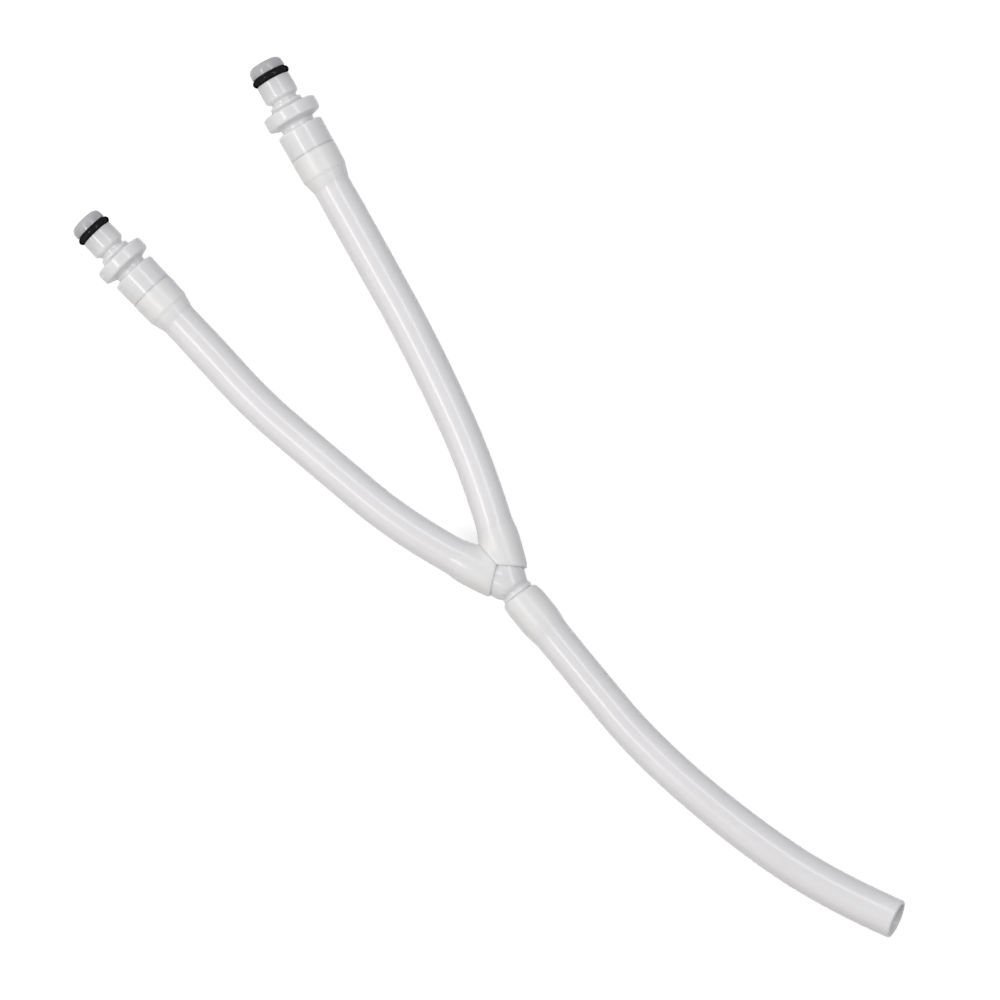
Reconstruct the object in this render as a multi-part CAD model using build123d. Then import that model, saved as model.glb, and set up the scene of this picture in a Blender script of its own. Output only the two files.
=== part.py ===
# Tubing Y connector: a barbed Y, three lengths of tubing pushed onto its barbs, and a coupling
# insert with an O-ring in the far end of each arm's tubing.
#
# Everything is drawn on one plane, with the middle of the Y at the origin and its stem pointing
# along -Y, and is then laid on the floor. Lengths are millimetres and angles are degrees. The
# outline of a turned piece is a list of (along, radius, rounding) corners, where "along" runs
# down the piece's own axis.
import math
import os

from build123d import *

# Tubing, 3/8 inch bore and 1/2 inch outside
tube_radius = 6.35
tube_bore = 4.7625
corner_share = 0.45         # of the shorter run beside a corner, taken up by the corner's arc

# The Y: three barbed branches, measured from the middle
arm_spread = 25.0           # from the line of the stem to each arm
branch_root = 5.2
branch_valley = 4.9
branch_crest = 5.85
branch_bore = 3.4
branch_tip = 21.5
branch_tip_radius = 4.6
inner_crest = (7.5, 8.1)    # start and end of the barb nearest the middle
outer_crest = (16.0, 16.6)
valley_start = 13.0
barb_step = 0.1             # length of a barb's steep back
bead_place = (3.5, 5.0)     # the ring that the stem's tubing stops against
bead_section = 0.6

# Tubing stretched over a branch, measured from the middle of the Y
arm_tube_start = 6.0        # where the axis of an arm's tubing meets its cut end
stem_tube_start = 4.2
mouth_bore = 5.25
mouth_end = 5.5
stem_mouth_radius = 6.15
arm_mouth_radius = 6.7
arm_blank_start = 0.5       # an arm's tubing before its end is cut
mouth_rise = 2.4
swell_radius = 7.05
stretched_radius = 7.1
stretch_end = 16.3
taper_end = 21.3
plain_start = 21.8
arm_cut_lean = 24.2         # how far an arm's cut end leans back on the side of the other arm
cut_edge_round = 0.9
seam_gap = 0.1              # between the two arms' tubing where they press together

# Coupling insert, measured from the rear face of its stop collar towards the nose
collar_rear_radius = 7.92
collar_front_radius = 8.08
collar_front = 9.3
rear_neck = 5.8
flange_radius = 9.5
flange_rear_root = 10.9
flange_rear_rim = 12.0
flange_front_rim = 16.4
flange_front_root = 17.13
shoulder_radius = 5.65
shoulder_front = 19.15
latch_neck = 4.55
latch_front = 20.2
nose_start = 21.4
nose_radius = 6.0
groove_start = 27.1
groove_end = 30.3
groove_floor = 4.1
lip_radius = 6.175
nose_tip = 34.4
insert_bore = 3.0
insert_bore_end = 32.0      # where the bore's straight wall gives way to its rounded mouth

# Barb of the insert, as (distance behind the collar, radius). The tubing follows it face to face.
barb_heel = (0, 6.61)
barb_crest = (1.4, 6.81)
barb_land_start = (3.5, 6.63)
barb_land_end = (7.6, 6.63)
barb_lead_top = (8.8, 6.09)
barb_lead_foot = (10.1, 5.85)
barb_tip = (14.0, 4.52)
grip_end = 13.4             # where the tubing is back at its own bore
grip_plain = 13.6
grip_outline = [
    (0, 7.91, 0),
    (1.6, 8.12, 1.5),
    (3.6, 7.92, 2.0),
    (7.5, 7.85, 1.0),
    (8.8, 7.4, 1.0),
    (10.1, 7.18, 1.0),
    (grip_end, tube_radius, 1.0),
    (grip_plain, tube_radius, 0),
]

# O-ring
ring_place = (28.7, 5.34)
ring_section = 1.31

# Routes of the tubing. The first two points of each lie on a branch of the Y.
spread_x = math.sin(math.radians(arm_spread))
spread_y = math.cos(math.radians(arm_spread))
arm_corner = 35.0           # from the middle of the Y to an arm's first corner
right_route = [
    (arm_tube_start * spread_x, arm_tube_start * spread_y, 0),
    (arm_corner * spread_x, arm_corner * spread_y, 0),
    (26.8, 80.0, 0),
    (34.0, 116.9, 0),
    (40.6, 153.7, 0),
]
left_route = [
    (-arm_tube_start * spread_x, arm_tube_start * spread_y, 0),
    (-arm_corner * spread_x, arm_corner * spread_y, 0),
    (-23.1, 76.5, 0),
    (-27.1, 101.0, 0),
    (-28.1, 126.1, 0),
    (-30.0, 151.0, 0),
]
stem_route = [
    (0, -stem_tube_start, 0),
    (0, -36.8, 0),
    (-0.4, -69.8, 0),
    (6.7, -110.5, 0),
    (17.3, -145.2, 0.5),
    (28.5, -167.5, 2.3),
]

# It lies on both flanges and on the low part of the stem's tubing
rest_tilt = 0.665

middle = Vector(0, 0, 0)
upward = Vector(0, 0, 1)


def turned(outline, inside):
    # A solid of revolution about X. The inside is a plain list of (along, radius) points, back to the start.
    points = [(along, radius) for along, radius, rounding in outline]
    rounds = [rounding for along, radius, rounding in outline[1:-1]]
    edge = FilletPolyline(*points, radius=rounds)
    closing = Polyline(points[-1], *inside, points[0])
    return revolve(make_face(edge + closing), Axis.X)


def placed(solid, start, direction):
    # Moves a solid drawn along X so that it starts at start and points along direction.
    sideways = upward.cross(direction)
    return Plane(origin=start, x_dir=direction, z_dir=direction.cross(sideways)) * solid


def trimmed(solid, at, outward):
    # Cuts away what lies past a plane through at that faces outward.
    size = 40.0
    block = Box(size, size, size, align=(Align.CENTER, Align.CENTER, Align.MIN))
    return solid - Plane(origin=at, z_dir=outward) * block


def heading(route, first, second):
    return (Vector(route[second]) - Vector(route[first])).normalized()


def corner_radii(route):
    points = [Vector(point) for point in route]
    radii = []
    for before, corner, after in zip(points, points[1:], points[2:]):
        arriving = corner - before
        leaving = after - corner
        half_turn = math.radians(arriving.get_angle(leaving)) / 2
        shorter = min(arriving.length, leaving.length)
        radii.append(corner_share * shorter / math.tan(half_turn))
    return radii


def swept_tube(route, skipped_start, skipped_end):
    # Plain tubing along the route, apart from a stretch at each end.
    first = Vector(route[0]) + heading(route, 0, 1) * skipped_start
    last = Vector(route[-1]) - heading(route, -2, -1) * skipped_end
    path = FilletPolyline(first, *route[1:-1], last, radius=corner_radii(route))
    section = Plane(origin=first, z_dir=heading(route, 0, 1)) * (Circle(tube_radius) - Circle(tube_bore))
    return sweep(section, path)


# Y fitting


def branch():
    outline = [
        (0, branch_root, 0),
        (inner_crest[0] - barb_step, branch_root, 0),
        (inner_crest[0], branch_crest, 0.1),
        (inner_crest[1], branch_crest, 0.2),
        (valley_start, branch_valley, 2.0),
        (outer_crest[0] - barb_step, branch_valley, 0),
        (outer_crest[0], branch_crest, 0.1),
        (outer_crest[1], branch_crest, 0.2),
        (branch_tip, branch_tip_radius, 0.3),
        (branch_tip, branch_bore, 0),
    ]
    return turned(outline, [(0, branch_bore)])


def y_fitting():
    stem = Vector(0, -1, 0)
    right = heading(right_route, 0, 1)
    left = heading(left_route, 0, 1)
    bead = revolve(Pos(*bead_place) * Circle(bead_section), Axis.X)
    body = Sphere(branch_root) + placed(bead, middle, stem)
    bores = Sphere(branch_bore)
    bore = Rot(Y=90) * Cylinder(branch_bore, branch_tip, align=(Align.CENTER, Align.CENTER, Align.MIN))
    for direction in (stem, right, left):
        body += placed(branch(), middle, direction)
        bores += placed(bore, middle, direction)
    return body - bores


# Tubing


def branch_grip_end():
    # Where the lead-in of a branch's outer barb has narrowed to the tubing's own bore.
    narrowing = (branch_crest - branch_tip_radius) / (branch_tip - outer_crest[1])
    return outer_crest[1] + (branch_crest - tube_bore) / narrowing


def stretched_end(start, mouth_radius):
    # Tubing over one branch of the Y, up to where it is plain again.
    outline = [
        (start, mouth_radius, 0),
        (start + mouth_rise, swell_radius, 2.5),
        (stretch_end, stretched_radius, 8.0),
        (taper_end, tube_radius, 3.0),
        (plain_start, tube_radius, 0),
    ]
    inside = [
        (plain_start, tube_bore),
        (branch_grip_end(), tube_bore),
        (outer_crest[1], branch_crest),
        (inner_crest[0] - barb_step, branch_crest),
        (mouth_end, mouth_bore),
        (start, mouth_bore),
    ]
    return turned(outline, inside)


def insert_grip():
    # Tubing over an insert's barb, measured back from the collar.
    inside = [
        (grip_plain, tube_bore),
        (grip_end, tube_bore),
        barb_lead_foot,
        barb_lead_top,
        barb_land_end,
        barb_land_start,
        barb_crest,
        barb_heel,
    ]
    return turned(grip_outline, inside)


def arm_tube(route, side):
    # side is 1 for the right arm and -1 for the left one.
    start = heading(route, 0, 1)
    arrival = heading(route, -2, -1)
    tube = placed(stretched_end(arm_blank_start, arm_mouth_radius), middle, start)
    tube += swept_tube(route, plain_start - arm_tube_start, grip_plain)
    tube += placed(insert_grip(), Vector(route[-1]), -arrival)
    facing = -start.rotate(Axis.Z, -side * arm_cut_lean)
    tube = trimmed(tube, Vector(route[0]), facing)
    mouth = tube.faces().filter_by(GeomType.PLANE).sort_by_distance(middle)[0]
    tube = fillet(mouth.outer_wire().edges(), cut_edge_round)
    return trimmed(tube, Vector(side * seam_gap / 2, branch_tip, 0), Vector(-side, 0, 0))


def stem_tube():
    tube = placed(stretched_end(stem_tube_start, stem_mouth_radius), middle, heading(stem_route, 0, 1))
    return tube + swept_tube(stem_route, plain_start - stem_tube_start, 0)


# Coupling inserts


def insert_body():
    barb = [barb_tip, barb_lead_foot, barb_lead_top, barb_land_end, barb_land_start, barb_crest, barb_heel]
    back = -barb_tip[0]
    outline = [(back, insert_bore, 0)]
    outline += [(-behind, radius, 0) for behind, radius in barb]
    outline += [
        (0, collar_rear_radius, 0.2),
        (collar_front, collar_front_radius, 0.8),
        (collar_front, rear_neck, 0),
        (flange_rear_root, rear_neck, 0.2),
        (flange_rear_rim, flange_radius, 0.7),
        (flange_front_rim, flange_radius, 0.7),
        (flange_front_root, shoulder_radius, 0.2),
        (shoulder_front, shoulder_radius, 0.6),
        (shoulder_front, latch_neck, 0),
        (latch_front, latch_neck, 0),
        (nose_start, nose_radius, 0.2),
        (groove_start, nose_radius, 0.2),
        (groove_start, groove_floor, 0),
        (groove_end, groove_floor, 0),
        (groove_end, lip_radius, 0.2),
        (nose_tip, lip_radius, 2.7),
        (nose_tip, insert_bore, 0.4),
        (insert_bore_end, insert_bore, 0),
    ]
    return turned(outline, [])


def o_ring():
    ring = revolve(Pos(*ring_place) * Circle(ring_section), Axis.X)
    return ring - Rot(Y=90) * Cylinder(groove_floor, 2 * nose_tip)


def at_route_end(solid, route):
    return placed(solid, Vector(route[-1]), heading(route, -2, -1))


def report_route(name, route, tube):
    # The plain tubing's section times the route's length, beside the solid's own volume.
    radii = corner_radii(route)
    length = FilletPolyline(*route, radius=radii).length
    section = math.pi * (tube_radius**2 - tube_bore**2)
    print(name, "corner radii", [round(radius) for radius in radii], "length", round(length, 2))
    print(name, "volume", round(tube.volume), "section times length", round(section * length))


def main():
    nodes = {
        "y_fitting": y_fitting(),
        "stem_tube": stem_tube(),
        "right_arm_tube": arm_tube(right_route, 1),
        "left_arm_tube": arm_tube(left_route, -1),
        "right_insert_body": at_route_end(insert_body(), right_route),
        "left_insert_body": at_route_end(insert_body(), left_route),
        "right_o_ring": at_route_end(o_ring(), right_route),
        "left_o_ring": at_route_end(o_ring(), left_route),
    }
    report_route("stem", stem_route, nodes["stem_tube"])
    report_route("right arm", right_route, nodes["right_arm_tube"])
    report_route("left arm", left_route, nodes["left_arm_tube"])

    tilted = {name: Rot(X=rest_tilt) * solid for name, solid in nodes.items()}
    box = Compound(tilted.values()).bounding_box()
    drop = Pos(-box.center().X, -box.center().Y, -box.min.Z)
    print("laid down by", drop.position)
    os.makedirs("parts", exist_ok=True)
    for name, solid in tilted.items():
        export_step(drop * solid, f"parts/{name}.step")


main()
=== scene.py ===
import math

import bmesh
import bpy
from mathutils import Matrix, Vector


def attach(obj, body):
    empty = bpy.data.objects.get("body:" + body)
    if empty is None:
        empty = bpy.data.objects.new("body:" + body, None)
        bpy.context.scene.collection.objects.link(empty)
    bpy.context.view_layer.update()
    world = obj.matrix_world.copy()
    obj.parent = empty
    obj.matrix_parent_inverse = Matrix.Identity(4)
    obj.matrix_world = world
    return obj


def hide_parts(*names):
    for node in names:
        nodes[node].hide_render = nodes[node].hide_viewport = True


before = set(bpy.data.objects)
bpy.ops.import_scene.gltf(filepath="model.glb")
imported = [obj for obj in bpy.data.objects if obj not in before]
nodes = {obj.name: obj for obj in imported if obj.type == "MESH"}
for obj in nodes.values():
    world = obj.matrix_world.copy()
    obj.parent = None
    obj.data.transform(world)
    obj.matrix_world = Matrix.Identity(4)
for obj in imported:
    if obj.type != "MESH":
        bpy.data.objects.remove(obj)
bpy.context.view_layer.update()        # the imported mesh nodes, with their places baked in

mm = 0.001
yCentre = Vector((-6.0382, -8.9098, 7.602)) * mm      # where the axes of the Y's branches meet
print("frame loaded:", len(nodes), "nodes")


# Camera, almost straight above

cameraSettings = {
    "azimuth": -39.3,
    "elevation": 84.0,
    "distance": 3.5,
    "viewWidth": 0.332,        # metres across the view
    "besideMiddle": 10.9,      # pixels from the middle of the view to the middle of the Y
    "belowMiddle": 84.8,
    "viewPixels": 1000,
    "sensorWidth": 36,
    "clipping": (0.1, 30.0),
}


def makeCamera(settings):
    azimuth = math.radians(settings["azimuth"])
    elevation = math.radians(settings["elevation"])
    back = Vector((
        math.sin(azimuth) * math.cos(elevation),
        -math.cos(azimuth) * math.cos(elevation),
        math.sin(elevation),
    ))
    turn = (-back).to_track_quat("-Z", "Y")
    perPixel = settings["viewWidth"] / settings["viewPixels"]
    aim = yCentre - turn @ Vector((settings["besideMiddle"], -settings["belowMiddle"], 0)) * perPixel
    bpy.ops.object.camera_add(location=aim + back * settings["distance"])
    camera = bpy.context.object
    camera.rotation_mode = "QUATERNION"
    camera.rotation_quaternion = turn
    camera.data.sensor_width = settings["sensorWidth"]
    camera.data.lens = settings["sensorWidth"] * settings["distance"] / settings["viewWidth"]
    camera.data.clip_start, camera.data.clip_end = settings["clipping"]
    bpy.context.scene.camera = camera


makeCamera(cameraSettings)
bpy.context.scene.view_settings.view_transform = "Standard"
print("camera placed")


# Small helpers for modelling

def clearSelection():
    if bpy.context.object and bpy.context.object.mode != "OBJECT":
        bpy.ops.object.mode_set(mode="OBJECT")
    bpy.ops.object.select_all(action="DESELECT")


def makeActive(piece):
    clearSelection()
    piece.select_set(True)
    bpy.context.view_layer.objects.active = piece


def smoothShade(piece, degrees):
    makeActive(piece)
    bpy.ops.object.shade_smooth_by_angle(angle=math.radians(degrees))


def between(table, along):
    # The value at one place in a table of (place, value) rows, eased from each row to the next.
    for (a, va), (b, vb) in zip(table, table[1:]):
        if along <= b:
            t = min(max((along - a) / (b - a), 0), 1)
            t = t * t * (3 - 2 * t)
            return va + (vb - va) * t
    return table[-1][1]


outlineSettings = {
    "roundingSteps": 5,
    "mostOfSide": 0.9,         # a rounding takes up no more than this share of a side
}


def easedOutline(corners):
    # Rounds the corners of a section's outline. Each corner is (along, radius, rounding) in millimetres.
    steps = outlineSettings["roundingSteps"]
    most = outlineSettings["mostOfSide"]
    eased = []
    for i, (along, radius, rounding) in enumerate(corners):
        here = Vector((along, radius))
        if rounding == 0 or i in (0, len(corners) - 1):
            eased.append(here)
            continue
        before = Vector(corners[i - 1][:2])
        after = Vector(corners[i + 1][:2])
        toBefore = before - here
        toAfter = after - here
        start = here + toBefore.normalized() * min(rounding, toBefore.length * most)
        end = here + toAfter.normalized() * min(rounding, toAfter.length * most)
        for k in range(steps):
            t = k / (steps - 1)
            eased.append(start * (1 - t) ** 2 + here * 2 * t * (1 - t) + end * t ** 2)
    return eased


# Tubing: routes, in millimetres, then the tubes that follow them. "lean" and "endLean" are the slopes of
# the two cut ends, "stretched" is where a barb stretches the tube, and "growth" is how its width changes.

stemTubeSettings = {
    "points": [
        (-6.038, -13.109, 7.553),
        (-6.038, -45.707, 7.175),
        (-6.038, -78.705, 6.85),
        (1.062, -119.302, 6.45),
        (11.262, -154.106, 6.60),
        (22.24, -175.98, 8.1),
    ],
    "length": 0.168,
    "farEnd": "bare",
    "lean": 0.08,
    "endLean": 0.135,
    "pressed": False,
    "stretched": [(9, 1.0), (18, 0.0)],
    "growth": [(0, 0.98), (30, 0.962), (80, 0.99), (120, 1.025), (168, 1.045)],
}
rightTubeSettings = {
    "points": [
        (-3.502, -3.472, 7.665),
        (8.753, 22.809, 7.970),
        (21.262, 70.985, 8.530),
        (27.962, 107.983, 8.959),
        (34.562, 144.780, 9.386),
    ],
    "length": 0.1536,
    "farEnd": "fitting",
    "lean": 0.32,
    "endLean": 0,
    "pressed": True,
    "stretched": [(7, 1.0), (16, 0.0), (140.4, 0.0), (145.4, 1.0)],
    "growth": [(0, 0.985), (30, 0.972), (80, 1.0), (130, 1.02), (140, 1.0), (154, 1.0)],
}
leftTubeSettings = {
    "points": [
        (-8.574, -3.472, 7.665),
        (-20.830, 22.809, 7.970),
        (-29.138, 67.585, 8.490),
        (-33.438, 92.084, 8.774),
        (-34.538, 117.182, 9.066),
        (-36.43, 142.60, 9.354),
    ],
    "length": 0.1493,
    "farEnd": "fitting",
    "lean": -0.24,
    "endLean": 0,
    "pressed": True,
    "stretched": [(7, 1.0), (16, 0.0), (136.0, 0.0), (141.0, 1.0)],
    "growth": [(0, 0.985), (30, 0.972), (80, 0.972), (120, 0.985), (136, 0.965), (150, 0.965)],
}
tubeSettings = {
    "radius": 6.35,
    "bore": 4.7625,
    "around": 120,
    "curveSteps": 30,
    "outerStep": 2.0,          # longest straight stretch of the outer wall, and of the bore's
    "boreStep": 4.0,
    "mapRepeat": 40,           # millimetres along the tube for one repeat of its UV map
    "smoothAngle": 40,
    "seamGap": -0.4,           # the arms' tubing presses together, so their walls merge
    "boreSeamGap": -0.1,       # the same for their bores
    "seamSpan": 22,            # the arms touch no further from their cut ends than this
    "seamSoftness": 0.1,
    "seamLift": [(0, 0.7), (6, 1.9), (9, 1.6), (12, 0.0)],     # the squeezed wall rises beside the seam
    "seamLiftEdge": -4,
    "seamReach": 3.4,          # how far from the seam the squeezed wall is raised
    "leanReach": (1.5, 12.0),  # the first cut end's lean fades out between these
    "endReach": 7.0,           # the far end's lean fades in over this length
}


def curvePath(name, points):
    # The points that a tube follows are read from its route's own curve.
    data = bpy.data.curves.new(name + "_route", "CURVE")
    data.dimensions = "3D"
    spline = data.splines.new("NURBS")
    spline.points.add(len(points) - 1)
    for controlPoint, place in zip(spline.points, points):
        controlPoint.co = (*(Vector(place) * mm), 1)
    spline.order_u = 3
    spline.use_endpoint_u = True
    spline.resolution_u = tubeSettings["curveSteps"]
    route = bpy.data.objects.new(name + "_route", data)
    bpy.context.scene.collection.objects.link(route)
    bpy.context.view_layer.update()
    line = bpy.data.meshes.new_from_object(route.evaluated_get(bpy.context.evaluated_depsgraph_get()))
    path = [vertex.co.copy() for vertex in line.vertices]
    bpy.data.objects.remove(route)
    bpy.data.meshes.remove(line)
    return path


class Follower:
    # Gives the place and directions at a distance along a path, also a little past its ends.
    def __init__(self, path):
        self.path = path
        self.reached = [0.0]
        for a, b in zip(path, path[1:]):
            self.reached.append(self.reached[-1] + (b - a).length)
        self.length = self.reached[-1]

    def tangent(self, i):
        a = self.path[max(i - 1, 0)]
        b = self.path[min(i + 1, len(self.path) - 1)]
        return (b - a).normalized()

    def at(self, along):
        i = 0
        while i < len(self.path) - 2 and self.reached[i + 1] < along:
            i += 1
        share = (along - self.reached[i]) / (self.reached[i + 1] - self.reached[i])
        place = self.path[i].lerp(self.path[i + 1], share)
        held = min(max(share, 0), 1)
        forward = self.tangent(i).lerp(self.tangent(i + 1), held).normalized()
        side = Vector((0, 0, 1)).cross(forward).normalized()
        return place, side, forward.cross(side)


def divided(outline, step):
    # Adds points along an outline's long straight stretches, so that they bend with the path.
    finer = [outline[0]]
    for a, b in zip(outline, outline[1:]):
        count = max(1, math.ceil(abs(b.x - a.x) / step))
        finer += [a.lerp(b, k / count) for k in range(1, count + 1)]
    return finer


def heldAtSeam(corner, middle, along, side, gap, lifted):
    # Keeps an arm's wall on its own side of the seam, and raises the squeezed wall beside it.
    beyond = (corner.x - yCentre.x) / mm * side - gap
    eased = (beyond + math.sqrt(beyond ** 2 + tubeSettings["seamSoftness"] ** 2)) / 2
    corner.x = yCentre.x + (eased + gap) * side * mm
    if lifted and beyond > tubeSettings["seamLiftEdge"]:
        near = max(0, 1 - eased / tubeSettings["seamReach"]) ** 2
        rise = near * between(tubeSettings["seamLift"], along)
        corner.z += math.copysign(rise, corner.z - middle.z) * mm


def wallRing(follower, settings, along, radius, isOuter):
    # The points of the wall round one place on the tube's path.
    length = follower.length / mm
    leanStart, leanEnd = tubeSettings["leanReach"]
    around = tubeSettings["around"]
    side = math.copysign(1, settings["lean"])
    gap = tubeSettings["seamGap" if isOuter else "boreSeamGap"]
    radius = radius * between(settings["growth"], along)
    fade = 1 - between([(leanStart, 0.0), (leanEnd, 1.0)], along)
    endFade = between([(length - tubeSettings["endReach"], 0.0), (length, 1.0)], along)
    corners = []
    for k in range(around):
        angle = 2 * math.pi * k / around
        slid = along + settings["lean"] * fade * radius * math.cos(angle)
        slid -= settings["endLean"] * endFade * radius * math.sin(angle)
        middle, aside, up = follower.at(slid * mm)
        corner = middle + (aside * math.cos(angle) + up * math.sin(angle)) * radius * mm
        if settings["pressed"] and along < tubeSettings["seamSpan"]:
            heldAtSeam(corner, middle, along, side, gap, isOuter)
        corners.append(corner)
    return corners


def tubeAlong(name, settings, makeOuter, makeInner):
    path = curvePath(name, settings["points"])
    follower = Follower(path)
    length = follower.length / mm
    outer = divided(makeOuter(length), tubeSettings["outerStep"])
    inner = divided(makeInner(length), tubeSettings["boreStep"])
    mesh = bmesh.new()
    uvLayer = mesh.loops.layers.uv.new("tubeMap")
    stretchLayer = mesh.verts.layers.float.new("stretched")
    around = tubeSettings["around"]
    repeat = tubeSettings["mapRepeat"]
    rings = []
    for isOuter, outline in ((True, outer), (False, inner)):
        for along, radius in outline:
            ring = [mesh.verts.new(corner) for corner in wallRing(follower, settings, along, radius, isOuter)]
            for vertex in ring:
                vertex[stretchLayer] = between(settings["stretched"], along)
            rings.append((along, ring))
    for i, (along, ring) in enumerate(rings):
        nextAlong, nextRing = rings[(i + 1) % len(rings)]
        for k in range(around):
            n = (k + 1) % around
            face = mesh.faces.new((ring[k], nextRing[k], nextRing[n], ring[n]))
            face.smooth = True
            places = ((k, along), (k, nextAlong), (k + 1, nextAlong), (k + 1, along))
            for loop, (u, v) in zip(face.loops, places):
                loop[uvLayer].uv = (u / around, v / repeat)
    bmesh.ops.recalc_face_normals(mesh, faces=mesh.faces)
    data = bpy.data.meshes.new(name)
    mesh.to_mesh(data)
    mesh.free()
    piece = bpy.data.objects.new(name, data)
    bpy.context.scene.collection.objects.link(piece)
    smoothShade(piece, tubeSettings["smoothAngle"])
    print(name, "length", round(follower.length, 4))
    return piece, path


# Outlines of the walls, from the end at the Y: (along, radius, rounding) outside and (along, radius) inside

def armOuter(length):
    plain = tubeSettings["radius"]
    return easedOutline([
        (0.3, 5.7, 0),
        (0, 6.05, 0.2),
        (0.45, 6.75, 0.4),
        (2.0, 7.06, 0.9),
        (10.6, 7.12, 2.6),
        (14.8, plain, 1.6),
        (length - 12.8, plain, 0.6),
        (length - 10.5, 7.12, 0.7),
        (length - 8.9, 7.42, 0.3),
        (length - 8.0, 7.84, 0.4),
        (length - 3.8, 7.92, 0.9),
        (length - 1.7, 8.08, 0.9),
        (length + 0.15, 7.895, 0),
        (length + 0.15, 6.66, 0),
    ])


def armInner(length):
    bore = tubeSettings["bore"]
    return [Vector(place) for place in (
        (length - 1.4, 6.86),
        (length - 3.5, 6.68),
        (length - 7.6, 6.68),
        (length - 8.8, 6.14),
        (length - 10.1, 5.90),
        (length - 13.4, bore),
        (14.86, bore),
        (10.6, 5.90),
        (2.2, 5.98),
    )]


def stemOuter(length):
    plain = tubeSettings["radius"]
    return easedOutline([
        (0.5, 5.1, 0),
        (0.0, 5.75, 0.2),
        (0.5, 6.5, 0.5),
        (2.7, 7.05, 1.4),
        (12.4, 7.12, 2.6),
        (16.6, plain, 1.6),
        (length - 4, plain, 0),
        (length, plain, 0.75),
        (length, 5.2, 0.25),
        (length - 2.2, tubeSettings["bore"], 0),
    ])


def stemInner(length):
    bore = tubeSettings["bore"]
    return [Vector(place) for place in (
        (length - 3, bore),
        (16.66, bore),
        (12.4, 5.90),
        (3.3, 5.90),
    )]


stemTube, stemPath = tubeAlong("stemTubing", stemTubeSettings, stemOuter, stemInner)
rightTube, rightPath = tubeAlong("rightTubing", rightTubeSettings, armOuter, armInner)
leftTube, leftPath = tubeAlong("leftTubing", leftTubeSettings, armOuter, armInner)


# Coupling inserts and their O-rings, drawn along X from the stop collar's rear face

insertSettings = {
    "around": 120,
    "boreCuts": 12,
    "weld": 0.002,
    "smoothAngle": 32,
    "profile": [               # (along, radius, rounding), from the barb's tip to the bore's end
        (-14.0, 3.0, 0),
        (-14.0, 4.49, 0.3),
        (-10.1, 5.82, 0),
        (-8.8, 6.06, 0),
        (-7.6, 6.60, 0),
        (-3.5, 6.60, 0),
        (-1.4, 6.78, 0.3),
        (0, 6.58, 0),
        (0, 7.92, 0),
        (9.3, 8.08, 0.8),
        (9.3, 5.8, 0.25),
        (11.2, 5.8, 0.7),
        (12.4, 9.5, 0.8),
        (16.8, 9.5, 0.8),
        (17.5, 5.65, 0.8),
        (19.15, 5.65, 0.6),
        (19.15, 4.55, 0.1),
        (20.2, 4.55, 0.1),
        (21.4, 6.0, 0.7),
        (27.75, 5.86, 0.35),
        (27.75, 4.1, 0.1),
        (30.4, 4.1, 0.1),
        (30.4, 6.02, 0.3),
        (34.4, 6.02, 2.7),
        (34.4, 3.0, 0.4),
        (32.0, 3.0, 0),
    ],
    "paintedRingShade": [(19.0, 0.0), (27.7, 0.32), (30.2, 1.0), (34.4, 0.75)],      # painted shade beside the black ring, standing in for the ring seen through the milky plastic
}
ringSettings = {
    "along": 29.0,
    "centreRadius": 5.44,
    "sectionRadius": 1.2,
    "sectionSides": 40,
    "around": 96,
    "floorRadius": 4.12,       # of the groove that the ring sits in
    "flashHeight": 0.05,       # the mould's parting line
    "flashReach": 0.02,
    "weld": 0.005,
    "smoothAngle": 40,
}
rightEnd = {
    "place": rightTubeSettings["points"][-1],
    "way": (0.176531, 0.984229, 0.011424),
    "size": 1.0,
}
leftEnd = {
    "place": leftTubeSettings["points"][-1],
    "way": (-0.076084, 0.997034, 0.011573),
    "size": 0.965,
}


def placedCopy(piece, name, end):
    copy = piece.copy()
    copy.data = piece.data.copy()
    copy.name = name
    copy.data.name = name
    bpy.context.scene.collection.objects.link(copy)
    forward = Vector(end["way"]).normalized()
    side = Vector((0, 0, 1)).cross(forward).normalized()
    turn = Matrix((forward, side, forward.cross(side))).transposed().to_4x4()
    copy.matrix_world = Matrix.Translation(Vector(end["place"]) * mm) @ turn @ Matrix.Scale(end["size"], 4)
    makeActive(copy)
    bpy.ops.object.transform_apply(location=True, rotation=True, scale=True)
    return copy


def latheInsert(settings):
    # One ring of points, pulled out along X and scaled from one station of the profile to the next.
    outline = easedOutline(settings["profile"])
    clearSelection()
    start = outline[0]
    bpy.ops.mesh.primitive_circle_add(
        vertices=settings["around"], radius=start.y * mm,
        location=(start.x * mm, 0, 0), rotation=(0, math.pi / 2, 0))
    insert = bpy.context.object
    insert.name = "insertPattern"
    bpy.ops.object.transform_apply(location=True, rotation=True, scale=True)
    bpy.ops.object.mode_set(mode="EDIT")
    bpy.ops.mesh.select_mode(type="VERT")
    bpy.ops.mesh.select_all(action="SELECT")
    for a, b in zip(outline, outline[1:]):
        bpy.ops.mesh.extrude_edges_move(TRANSFORM_OT_translate={"value": ((b.x - a.x) * mm, 0, 0)})
        bpy.ops.transform.resize(value=(1, b.y / a.y, b.y / a.y), center_override=(b.x * mm, 0, 0))
    bpy.ops.mesh.select_all(action="DESELECT")
    bpy.ops.mesh.select_non_manifold(extend=False)
    bpy.ops.mesh.bridge_edge_loops(number_cuts=settings["boreCuts"], interpolation="LINEAR")
    bpy.ops.mesh.select_all(action="SELECT")
    bpy.ops.mesh.remove_doubles(threshold=settings["weld"] * mm)
    bpy.ops.mesh.normals_make_consistent(inside=False)
    bpy.ops.object.mode_set(mode="OBJECT")
    # Painted shade: this attribute darkens the insert's colour beside its O-ring.
    shade = insert.data.attributes.new("paintedRingShade", "FLOAT", "POINT")
    for vertex, value in zip(insert.data.vertices, shade.data):
        value.value = between(settings["paintedRingShade"], vertex.co.x / mm)
    smoothShade(insert, settings["smoothAngle"])
    return insert


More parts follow.
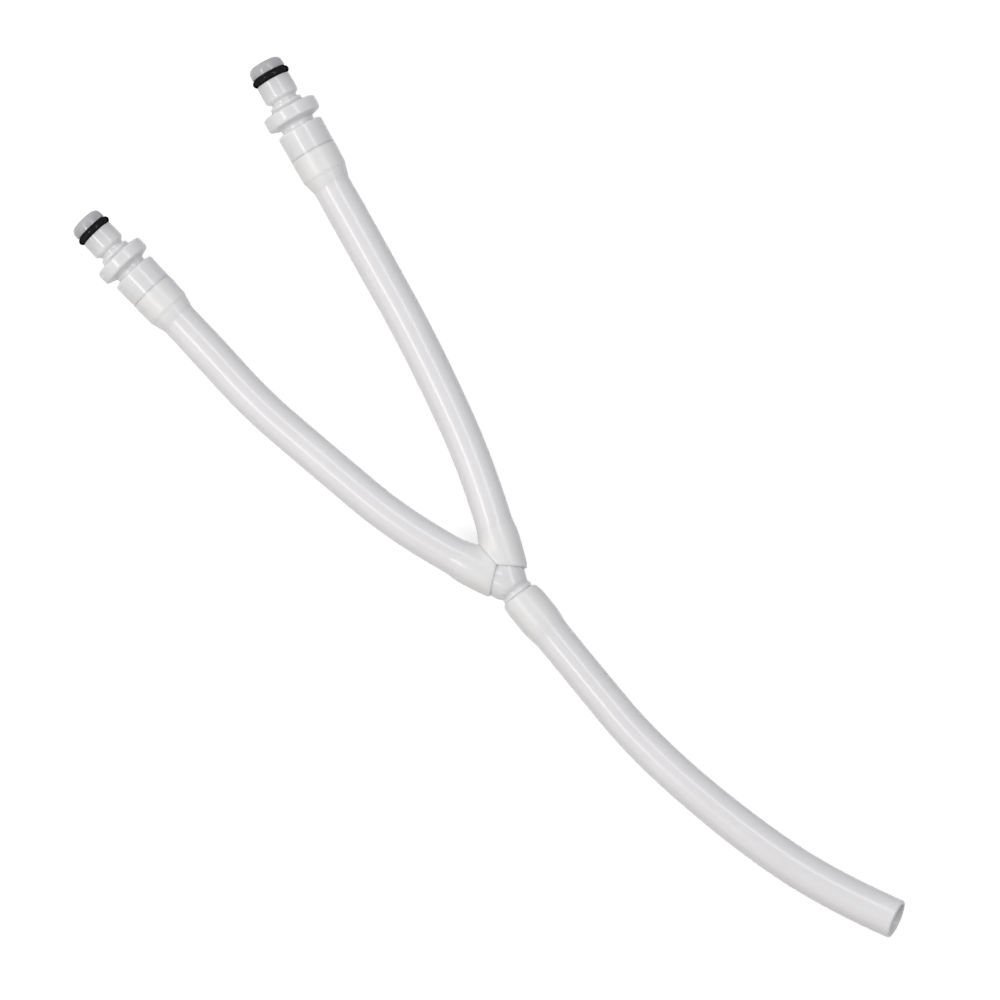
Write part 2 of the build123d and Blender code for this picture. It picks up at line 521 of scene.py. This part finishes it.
def spinRing(settings):
    # The ring's section, spun round the insert's axis.
    middle = settings["along"] * mm
    centreHeight = settings["centreRadius"] * mm
    clearSelection()
    bpy.ops.mesh.primitive_circle_add(
        vertices=settings["sectionSides"], radius=settings["sectionRadius"] * mm,
        location=(middle, centreHeight, 0))
    ring = bpy.context.object
    ring.name = "ringPattern"
    bpy.ops.object.transform_apply(location=True, rotation=True, scale=True)
    for vertex in ring.data.vertices:
        vertex.co.y = max(vertex.co.y, settings["floorRadius"] * mm)
        onTop = vertex.co.y > centreHeight
        if onTop and abs(vertex.co.x - middle) < settings["flashReach"] * mm:
            vertex.co.y += settings["flashHeight"] * mm
    bpy.ops.object.mode_set(mode="EDIT")
    bpy.ops.mesh.select_all(action="SELECT")
    bpy.ops.mesh.spin(steps=settings["around"], angle=2 * math.pi, center=(0, 0, 0), axis=(1, 0, 0))
    bpy.ops.mesh.select_all(action="SELECT")
    bpy.ops.mesh.remove_doubles(threshold=settings["weld"] * mm)
    bpy.ops.mesh.normals_make_consistent(inside=False)
    bpy.ops.object.mode_set(mode="OBJECT")
    smoothShade(ring, settings["smoothAngle"])
    return ring


# The Y, from its solid

ySettings = {
    "weld": 0.001,
    "voxel": 0.3,
    "smoothed": 3,             # rounds of smoothing all over
    "melted": 22,              # more rounds where the branches meet
    "smoothFactor": 0.5,
    "hubReach": (8.5, 10.3),   # from the middle of the Y, where the swelling fades out
    "meltReach": (6.0, 10.0),  # and where the melting does
    "boreReach": 4.4,          # nothing nearer to the middle swells, so the bores keep their size
    "swell": [(-6.0, 1.2), (6.0, 0.5)],      # from the left arm's side to the right arm's side
    "crown": 0.5,              # more swelling above and below
    "stemFade": [(-2.6, 0.0), (-0.6, 1.0)],  # the stem's side keeps its bead
}


def smoothOver(body, rounds, factor, group=""):
    smooth = body.modifiers.new("smooth", "SMOOTH")
    smooth.iterations = rounds
    smooth.factor = factor
    smooth.vertex_group = group
    bpy.ops.object.modifier_apply(modifier=smooth.name)


def softenY(settings):
    # The Y's own shape, with its branches melted together as the mould leaves them.
    source = nodes["y_fitting"]
    body = bpy.data.objects.new("yBody", source.data.copy())
    bpy.context.scene.collection.objects.link(body)
    body.data.materials.clear()
    makeActive(body)
    bpy.ops.object.mode_set(mode="EDIT")
    bpy.ops.mesh.select_all(action="SELECT")
    bpy.ops.mesh.remove_doubles(threshold=settings["weld"] * mm)
    bpy.ops.object.mode_set(mode="OBJECT")
    remesh = body.modifiers.new("remesh", "REMESH")
    remesh.mode = "VOXEL"
    remesh.voxel_size = settings["voxel"] * mm
    bpy.ops.object.modifier_apply(modifier="remesh")
    swellStart, swellEnd = settings["hubReach"]
    meltStart, meltEnd = settings["meltReach"]
    hub = body.vertex_groups.new(name="hub")
    for vertex in body.data.vertices:
        outward = (vertex.co - yCentre) / mm
        distance = outward.length
        armSide = between(settings["stemFade"], outward.y)
        melting = (1 - between([(meltStart, 0.0), (meltEnd, 1.0)], distance)) * armSide
        hub.add([vertex.index], melting, "REPLACE")
        swelling = (1 - between([(swellStart, 0.0), (swellEnd, 1.0)], distance)) * armSide
        if distance > settings["boreReach"]:
            amount = between(settings["swell"], outward.x)
            vertex.co += outward.normalized() * swelling * amount * mm
            vertex.co.z += outward.z / distance * swelling * settings["crown"] * mm
    smoothOver(body, settings["smoothed"], settings["smoothFactor"])
    smoothOver(body, settings["melted"], settings["smoothFactor"], "hub")
    body.vertex_groups.clear()
    bpy.ops.object.shade_smooth()
    return body


yBody = softenY(ySettings)
print("Y softened:", len(yBody.data.polygons), "faces")
insertPattern = latheInsert(insertSettings)
ringPattern = spinRing(ringSettings)
rightInsert = placedCopy(insertPattern, "rightInsert", rightEnd)
leftInsert = placedCopy(insertPattern, "leftInsert", leftEnd)
rightRing = placedCopy(ringPattern, "rightRing", rightEnd)
leftRing = placedCopy(ringPattern, "leftRing", leftEnd)
bpy.data.objects.remove(insertPattern)
bpy.data.objects.remove(ringPattern)
print("inserts and O-rings made")


# Materials

cloudSettings = {
    "cloudDetail": 3,
    "speckleDetail": 2,
    "speckleShare": 0.3,
}


def nodeGroup(name, inputs, outputs):
    group = bpy.data.node_groups.new(name, "ShaderNodeTree")
    for label, kind, value in inputs:
        socket = group.interface.new_socket(name=label, in_out="INPUT", socket_type=kind)
        socket.default_value = value
    for label, kind in outputs:
        group.interface.new_socket(name=label, in_out="OUTPUT", socket_type=kind)
    return group, group.nodes.new("NodeGroupInput"), group.nodes.new("NodeGroupOutput")


def addNode(tree, kind, **values):
    node = tree.nodes.new(kind)
    for key, value in values.items():
        setattr(node, key, value)
    return node


def makeCloudiness():
    # The uneven milkiness of the plastic: a large soft cloud and a fine speckle.
    group, given, out = nodeGroup(
        "cloudiness",
        [
            ("Vector", "NodeSocketVector", (0, 0, 0)),
            ("Light", "NodeSocketColor", (0.8, 0.8, 0.8, 1)),
            ("Dark", "NodeSocketColor", (0.6, 0.6, 0.6, 1)),
            ("Cloud Scale", "NodeSocketFloat", 60.0),
            ("Speckle Scale", "NodeSocketFloat", 900.0),
        ],
        [
            ("Color", "NodeSocketColor"),
            ("Height", "NodeSocketFloat"),
            ("Roughness Shift", "NodeSocketFloat"),
        ])
    link = group.links.new
    cloud = addNode(group, "ShaderNodeTexNoise")
    cloud.inputs["Detail"].default_value = cloudSettings["cloudDetail"]
    link(given.outputs["Vector"], cloud.inputs["Vector"])
    link(given.outputs["Cloud Scale"], cloud.inputs["Scale"])
    speckle = addNode(group, "ShaderNodeTexNoise")
    speckle.inputs["Detail"].default_value = cloudSettings["speckleDetail"]
    link(given.outputs["Vector"], speckle.inputs["Vector"])
    link(given.outputs["Speckle Scale"], speckle.inputs["Scale"])
    blended = addNode(group, "ShaderNodeMix", data_type="FLOAT")
    blended.inputs["Factor"].default_value = cloudSettings["speckleShare"]
    link(cloud.outputs["Fac"], blended.inputs["A"])
    link(speckle.outputs["Fac"], blended.inputs["B"])
    colour = addNode(group, "ShaderNodeMix", data_type="RGBA")
    link(blended.outputs["Result"], colour.inputs["Factor"])
    link(given.outputs["Dark"], colour.inputs["A"])
    link(given.outputs["Light"], colour.inputs["B"])
    link(colour.outputs["Result"], out.inputs["Color"])
    link(speckle.outputs["Fac"], out.inputs["Height"])
    link(cloud.outputs["Fac"], out.inputs["Roughness Shift"])
    return group


cloudiness = makeCloudiness()

glossSettings = {
    "edgeFacing": 0.6,         # facing at which the surface counts as its edge
    "bumpDepth": 0.0002,
}
tubingFinish = {
    "name": "milkyTubing",
    "cloudScale": 40.0,
    "speckleScale": 700.0,
    "light": (0.835, 0.83, 0.835, 1),
    "dark": (0.735, 0.73, 0.735, 1),
    "roughness": (0.21, 0.3),
    "specular": (0.5, 0.12),   # seen face on and at the edge
    "scatterWeight": 1.0,
    "scatterDepth": 0.0006,
    "attribute": "stretched",
    "shade": (0.79, 0.79, 0.785, 1),
    "roughnessShift": 0.10,
    "lineScale": (55.0, 0.4, 1),      # extrusion lines round the tube, drawn out along it
    "lineDetail": 3,
    "bump": 0.04,
}
plasticFinish = {
    "name": "milkyPlastic",
    "cloudScale": 60.0,
    "speckleScale": 900.0,
    "light": (0.80, 0.80, 0.805, 1),
    "dark": (0.70, 0.70, 0.705, 1),
    "roughness": (0.19, 0.29),
    "specular": (0.5, 0.12),
    "scatterWeight": 1.0,
    "scatterDepth": 0.0015,
    "attribute": "paintedRingShade",
    # the painted shade colour, mixed in beside the O-ring
    "shade": (0.43, 0.435, 0.45, 1),
    "roughnessShift": -0.06,
    "bump": 0.03,
}
rubberFinish = {
    "name": "blackRubber",
    "cloudScale": 200.0,
    "speckleScale": 2500.0,
    "light": (0.0045, 0.0045, 0.0065, 1),
    "dark": (0.003, 0.003, 0.004, 1),
    "roughness": (0.11, 0.15),
    "specular": (0.15, 0.0),
    "bump": 0.03,
}


def finishMaterial(finish):
    material = bpy.data.materials.new(finish["name"])
    material.use_nodes = True
    tree = material.node_tree
    link = tree.links.new
    shader = tree.nodes["Principled BSDF"]
    coordinates = addNode(tree, "ShaderNodeTexCoord")
    cloud = addNode(tree, "ShaderNodeGroup", node_tree=cloudiness)
    cloud.inputs["Light"].default_value = finish["light"]
    cloud.inputs["Dark"].default_value = finish["dark"]
    cloud.inputs["Cloud Scale"].default_value = finish["cloudScale"]
    cloud.inputs["Speckle Scale"].default_value = finish["speckleScale"]
    link(coordinates.outputs["Object"], cloud.inputs["Vector"])
    spread = addNode(tree, "ShaderNodeMapRange")
    spread.inputs["To Min"].default_value, spread.inputs["To Max"].default_value = finish["roughness"]
    link(cloud.outputs["Roughness Shift"], spread.inputs["Value"])
    facing = addNode(tree, "ShaderNodeLayerWeight")
    gloss = addNode(tree, "ShaderNodeMapRange")
    gloss.inputs["From Max"].default_value = glossSettings["edgeFacing"]
    gloss.inputs["To Min"].default_value, gloss.inputs["To Max"].default_value = finish["specular"]
    link(facing.outputs["Facing"], gloss.inputs["Value"])
    link(gloss.outputs["Result"], shader.inputs["Specular IOR Level"])
    # The painted attribute mixes in the finish's shade colour: painted shade beside the O-ring on the
    # plastic, and the plain colour of stretched tubing over a barb.
    if "attribute" in finish:
        painted = addNode(tree, "ShaderNodeAttribute", attribute_name=finish["attribute"])
        shaded = addNode(tree, "ShaderNodeMix", data_type="RGBA")
        shaded.inputs["B"].default_value = finish["shade"]
        link(painted.outputs["Fac"], shaded.inputs["Factor"])
        link(cloud.outputs["Color"], shaded.inputs["A"])
        link(shaded.outputs["Result"], shader.inputs["Base Color"])
        duller = addNode(tree, "ShaderNodeMath", operation="MULTIPLY_ADD")
        duller.inputs[1].default_value = finish["roughnessShift"]
        link(painted.outputs["Fac"], duller.inputs[0])
        link(spread.outputs["Result"], duller.inputs[2])
        link(duller.outputs["Value"], shader.inputs["Roughness"])
    else:
        link(cloud.outputs["Color"], shader.inputs["Base Color"])
        link(spread.outputs["Result"], shader.inputs["Roughness"])
    bump = addNode(tree, "ShaderNodeBump")
    bump.inputs["Strength"].default_value = finish["bump"]
    bump.inputs["Distance"].default_value = glossSettings["bumpDepth"]
    link(cloud.outputs["Height"], bump.inputs["Height"])
    link(bump.outputs["Normal"], shader.inputs["Normal"])
    if "scatterWeight" in finish:
        shader.inputs["Subsurface Weight"].default_value = finish["scatterWeight"]
        shader.inputs["Subsurface Radius"].default_value = (1.0, 1.0, 1.0)
        shader.inputs["Subsurface Scale"].default_value = finish["scatterDepth"]
    return material, cloud, bump


def tubingMaterial(finish):
    # The milky finish, with fine extrusion lines added to its bumps.
    material, cloud, bump = finishMaterial(finish)
    tree = material.node_tree
    link = tree.links.new
    tubeMap = addNode(tree, "ShaderNodeUVMap", uv_map="tubeMap")
    drawnOut = addNode(tree, "ShaderNodeMapping")
    drawnOut.inputs["Scale"].default_value = finish["lineScale"]
    link(tubeMap.outputs["UV"], drawnOut.inputs["Vector"])
    lines = addNode(tree, "ShaderNodeTexNoise")
    lines.inputs["Scale"].default_value = 1
    lines.inputs["Detail"].default_value = finish["lineDetail"]
    link(drawnOut.outputs["Vector"], lines.inputs["Vector"])
    both = addNode(tree, "ShaderNodeMath", operation="ADD")
    link(cloud.outputs["Height"], both.inputs[0])
    link(lines.outputs["Fac"], both.inputs[1])
    link(both.outputs["Value"], bump.inputs["Height"])
    return material


milkyTubing = tubingMaterial(tubingFinish)
milkyPlastic = finishMaterial(plasticFinish)[0]
blackRubber = finishMaterial(rubberFinish)[0]


def giveMaterial(piece, material):
    piece.data.materials.clear()
    piece.data.materials.append(material)


for piece in (stemTube, rightTube, leftTube):
    giveMaterial(piece, milkyTubing)
for piece in (rightInsert, leftInsert, yBody):
    giveMaterial(piece, milkyPlastic)
for piece in (rightRing, leftRing):
    giveMaterial(piece, blackRubber)
print("materials given")


# Floor, world and lamps

stageSettings = {
    "floorSize": 12.0,
    "floorDrop": 0.0001,
    "floorColour": (0.42, 0.42, 0.42, 1),
    "floorGlow": 0.76,         # plain white added to the floor where it is seen directly
    "seenColour": (1.0, 1.0, 1.0, 1),
    "worldLight": (0.85, 0.845, 0.85, 1),
    "worldStrength": 0.355,
}
lampSettings = [               # each lamp lies along Y and is tilted to face the plane X = 0
    {
        "name": "longLamp",
        "place": (-1.03, 0.75, 1.55),
        "size": (0.12, 1.8),
        "power": 17.0,
        "colour": (1.0, 0.98, 0.95),
    },
    {
        "name": "wideLamp",
        "place": (0.92, 0.0, 1.85),
        "size": (0.22, 3.2),
        "power": 20.0,
        "colour": (0.95, 0.95, 1.0),
    },
    {
        "name": "fillLamp",
        "place": (-2.2, 0.0, 0.95),
        "size": (1.4, 3.6),
        "power": 11.5,
        "colour": (1.0, 0.98, 0.965),
    },
]


def seenDirectly(tree):
    # 1 for what the camera sees straight, in a reflection or through a clear piece, and 0 for other light.
    path = addNode(tree, "ShaderNodeLightPath")
    first = addNode(tree, "ShaderNodeMath", operation="MAXIMUM")
    second = addNode(tree, "ShaderNodeMath", operation="MAXIMUM")
    tree.links.new(path.outputs["Is Camera Ray"], first.inputs[0])
    tree.links.new(path.outputs["Is Glossy Ray"], first.inputs[1])
    tree.links.new(first.outputs["Value"], second.inputs[0])
    tree.links.new(path.outputs["Is Transmission Ray"], second.inputs[1])
    return second.outputs["Value"]


def makeFloor():
    clearSelection()
    bpy.ops.mesh.primitive_plane_add(
        size=stageSettings["floorSize"], location=(0, 0, -stageSettings["floorDrop"]))
    floor = bpy.context.object
    floor.name = "floor"
    bpy.ops.object.transform_apply(location=True, rotation=True, scale=True)
    material = bpy.data.materials.new("paleFloor")
    material.use_nodes = True
    tree = material.node_tree
    tree.nodes.clear()
    diffuse = addNode(tree, "ShaderNodeBsdfDiffuse")
    diffuse.inputs["Color"].default_value = stageSettings["floorColour"]
    glow = addNode(tree, "ShaderNodeEmission")
    glow.inputs["Color"].default_value = stageSettings["seenColour"]
    seen = addNode(tree, "ShaderNodeMath", operation="MULTIPLY")
    seen.inputs[1].default_value = stageSettings["floorGlow"]
    tree.links.new(seenDirectly(tree), seen.inputs[0])
    tree.links.new(seen.outputs["Value"], glow.inputs["Strength"])
    blended = addNode(tree, "ShaderNodeAddShader")
    tree.links.new(diffuse.outputs["BSDF"], blended.inputs[0])
    tree.links.new(glow.outputs["Emission"], blended.inputs[1])
    out = addNode(tree, "ShaderNodeOutputMaterial")
    tree.links.new(blended.outputs["Shader"], out.inputs["Surface"])
    giveMaterial(floor, material)


def makeWorld():
    world = bpy.data.worlds.new("studio")
    bpy.context.scene.world = world
    world.use_nodes = True
    tree = world.node_tree
    tree.nodes.clear()
    soft = addNode(tree, "ShaderNodeBackground")
    soft.inputs["Color"].default_value = stageSettings["worldLight"]
    soft.inputs["Strength"].default_value = stageSettings["worldStrength"]
    white = addNode(tree, "ShaderNodeBackground")
    white.inputs["Color"].default_value = stageSettings["seenColour"]
    blended = addNode(tree, "ShaderNodeMixShader")
    tree.links.new(seenDirectly(tree), blended.inputs[0])
    tree.links.new(soft.outputs["Background"], blended.inputs[1])
    tree.links.new(white.outputs["Background"], blended.inputs[2])
    out = addNode(tree, "ShaderNodeOutputWorld")
    tree.links.new(blended.outputs["Shader"], out.inputs["Surface"])


def makeLamps():
    for lamp in lampSettings:
        bpy.ops.object.light_add(type="AREA", location=lamp["place"])
        light = bpy.context.object
        light.name = lamp["name"]
        light.data.shape = "RECTANGLE"
        light.data.size, light.data.size_y = lamp["size"]
        light.data.energy = lamp["power"]
        light.data.color = lamp["colour"]
        aside = lamp["place"][0]
        height = lamp["place"][2]
        light.rotation_euler = (0, math.atan2(aside, height), 0)


makeFloor()
makeWorld()
makeLamps()
print("floor, world and lamps made")


# What each piece stands for and rides on

standsFor = [
    (yBody, "moulded_plastic", "y_fitting"),
    (stemTube, "tubing", "stem_tube"),
    (rightTube, "tubing", "right_arm_tube"),
    (leftTube, "tubing", "left_arm_tube"),
    (rightInsert, "moulded_plastic", "right_insert_body"),
    (leftInsert, "moulded_plastic", "left_insert_body"),
    (rightRing, "o_ring_rubber", "right_o_ring"),
    (leftRing, "o_ring_rubber", "left_o_ring"),
]
for piece, slot, node in standsFor:
    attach(piece, "root")
    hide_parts(node)
